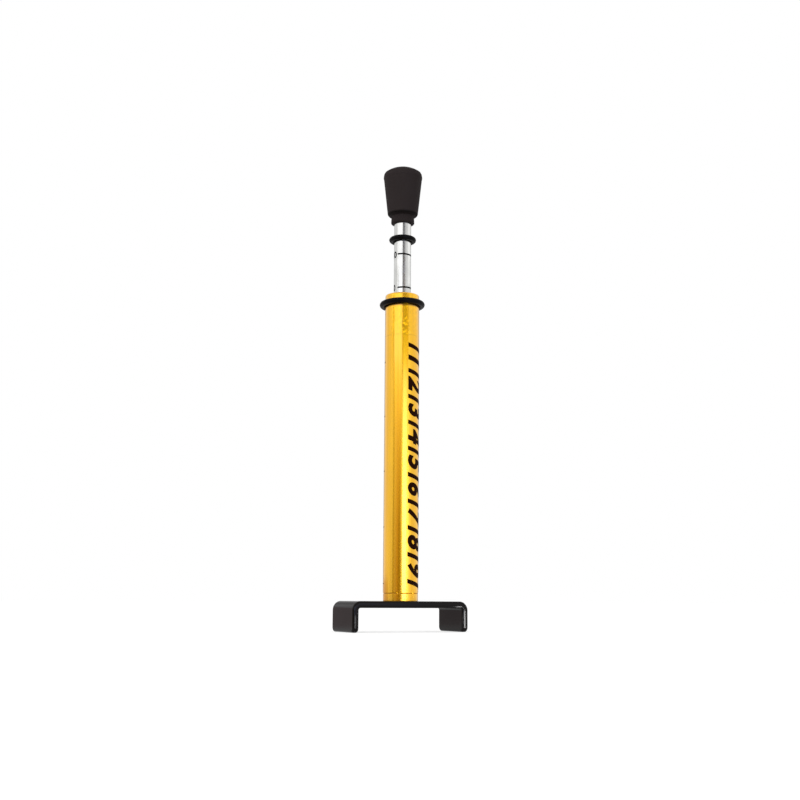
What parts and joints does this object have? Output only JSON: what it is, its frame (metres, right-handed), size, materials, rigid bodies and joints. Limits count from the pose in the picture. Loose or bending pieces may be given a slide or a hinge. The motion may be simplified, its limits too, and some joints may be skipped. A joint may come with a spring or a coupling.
{
  "type": "belt tension gauge",
  "caption": "Tubular spring gauge that stands on a U-shaped belt cradle; a knobbed, graduated plunger is pushed in to show the force, and sliding rubber rings mark the reading.",
  "frame": {"origin": "centre of the box's lower face, midway between the two feet of the cradle, on the barrel's axis", "axes": "+Z along the barrel's axis from the cradle to the knob, +X from one leg of the cradle to the other, Y across the strap"},
  "size_m": [0.057, 0.0234, 0.2182],
  "materials": {
    "gold_anodised": "drawn tube, gold anodised",
    "bright_rod": "bright drawn",
    "black_coat": "black powder coat, half gloss",
    "knob_rubber": "matt moulded",
    "ring_rubber": "smooth moulded",
    "plated_steel": "zinc plated",
    "spring_steel": "drawn wire",
    "piston_brass": "turned",
    "pale_acetal": "turned",
    "dark_acetal": "turned"
  },
  "bodies": {
    "housing": {"cradle": "black_coat", "cradle_screw": "plated_steel", "end_plug": "gold_anodised", "barrel": "gold_anodised", "top_cap": "gold_anodised", "guide_bush": "pale_acetal", "calibration_shims": "plated_steel", "lower_spring_seat": "dark_acetal", "spring": "spring_steel"},
    "piston": {"piston": "piston_brass", "piston_band": "pale_acetal", "piston_buffer": "ring_rubber", "upper_spring_seat": "dark_acetal"},
    "plunger": {"plunger_rod": "bright_rod", "rod_washer": "plated_steel", "rod_clip": "spring_steel", "knob_disc": "plated_steel", "knob": "knob_rubber"},
    "force_marker": {"force_ring": "ring_rubber"},
    "deflection_marker": {"deflection_ring": "ring_rubber"}
  },
  "joints": [
    {"name": "plunger_slide", "type": "slide", "parent": "housing", "child": "piston", "axis": [0, 0, -1], "range_m": [0, 0.02], "stiffness_N_per_m": 2520, "springref_m": -0.0016, "deforming": ["spring"]},
    {"name": "plunger_swivel", "type": "hinge", "parent": "piston", "child": "plunger", "pos_m": [0, 0, 0.137], "axis": [0, 0, 1], "continuous": true},
    {"name": "force_ring_slide", "type": "slide", "parent": "plunger", "child": "force_marker", "axis": [0, 0, 1], "range_m": [-0.0056, 0.0064]},
    {"name": "deflection_ring_slide", "type": "slide", "parent": "housing", "child": "deflection_marker", "axis": [0, 0, -1], "range_m": [-0.0028, 0.1355]}
  ]
}
